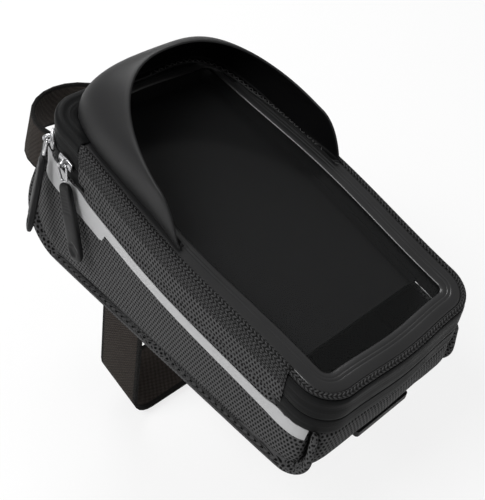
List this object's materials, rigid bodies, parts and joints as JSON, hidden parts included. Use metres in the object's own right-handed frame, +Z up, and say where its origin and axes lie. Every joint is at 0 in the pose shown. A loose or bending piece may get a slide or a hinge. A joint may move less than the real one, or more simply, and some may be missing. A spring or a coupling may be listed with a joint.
{
  "type": "bike bag",
  "caption": "Zipped wedge-shaped top-tube bag with a hinged window lid, hooded visor, piped mesh sides, reflective strips and two straps.",
  "frame": {"origin": "on the underside of the pad that rests on the top tube, at the middle of the bag", "axes": "+X to the rider's right, +Y forward along the top tube, +Z up, square to the bag's bottom"},
  "size_m": [0.1144, 0.2345, 0.1908],
  "materials": {
    "mesh_fabric": "dark grey air mesh with black holes over foam",
    "mesh_piping": "mesh-covered cord",
    "coated_tape": "satin coated waterproof tape",
    "lining_cloth": "matte cloth",
    "stiffener_board": "matte",
    "foam": "soft foam",
    "reflective_tape": "silver grey reflective",
    "window_border": "smooth soft plastic",
    "clear_film": "clear film",
    "visor_shell": "smooth matte soft shell",
    "bright_metal": "bright plated",
    "black_rubber": "matte moulded rubber",
    "loop_strap": "brown-black hook-and-loop webbing"
  },
  "bodies": {
    "tub": {"gusset": "mesh_fabric", "side_panel_left": "mesh_fabric", "side_panel_right": "mesh_fabric", "panel_piping_left": "mesh_piping", "panel_piping_right": "mesh_piping", "reflective_strip_left": "reflective_tape", "reflective_strip_right": "reflective_tape", "lining": "lining_cloth", "base_board": "stiffener_board", "seat_pad": "black_rubber", "tube_strap": "loop_strap", "head_tube_strap": "loop_strap", "zip_tape_lower": "coated_tape", "zip_stop_front": "bright_metal", "zip_stop_rear": "bright_metal"},
    "lid": {"lid_rim": "lining_cloth", "lid_piping": "mesh_piping", "lid_side_panel": "mesh_fabric", "window_border": "window_border", "window_film": "clear_film", "pocket_back": "lining_cloth", "phone_pad": "foam", "visor": "visor_shell", "zip_tape_upper": "coated_tape"},
    "runner_a": {"slider_a": "bright_metal"},
    "runner_b": {"slider_b": "bright_metal"},
    "pull_a": {"pull_link_a": "bright_metal", "pull_grip_a": "black_rubber"},
    "pull_b": {"pull_link_b": "bright_metal", "pull_grip_b": "black_rubber"}
  },
  "joints": [
    {"name": "lid_hinge", "type": "hinge", "parent": "tub", "child": "lid", "pos_m": [-0.0518, 0.00213, 0.0535], "axis": [0, -0.9833, -0.1822], "range_deg": [0, 95]},
    {"name": "slider_a_travel", "type": "hinge", "parent": "tub", "child": "runner_a", "pos_m": [-0.0325, 0.07079, 0.06622], "axis": [0, 0.1822, -0.9833], "range_deg": [0, 11]},
    {"name": "slider_b_travel", "type": "slide", "parent": "tub", "child": "runner_b", "axis": [0, 0.9833, 0.1822], "range_m": [0, 0.0035]},
    {"name": "pull_a_swing", "type": "hinge", "parent": "runner_a", "child": "pull_a", "pos_m": [-0.04781, 0.08109, 0.06813], "axis": [0.5153, 0.8151, -0.2648], "range_deg": [0, 75]},
    {"name": "pull_b_swing", "type": "hinge", "parent": "runner_b", "child": "pull_b", "pos_m": [-0.05105, 0.06627, 0.06538], "axis": [0, 0.9205, -0.3907], "range_deg": [0, 75]}
  ]
}
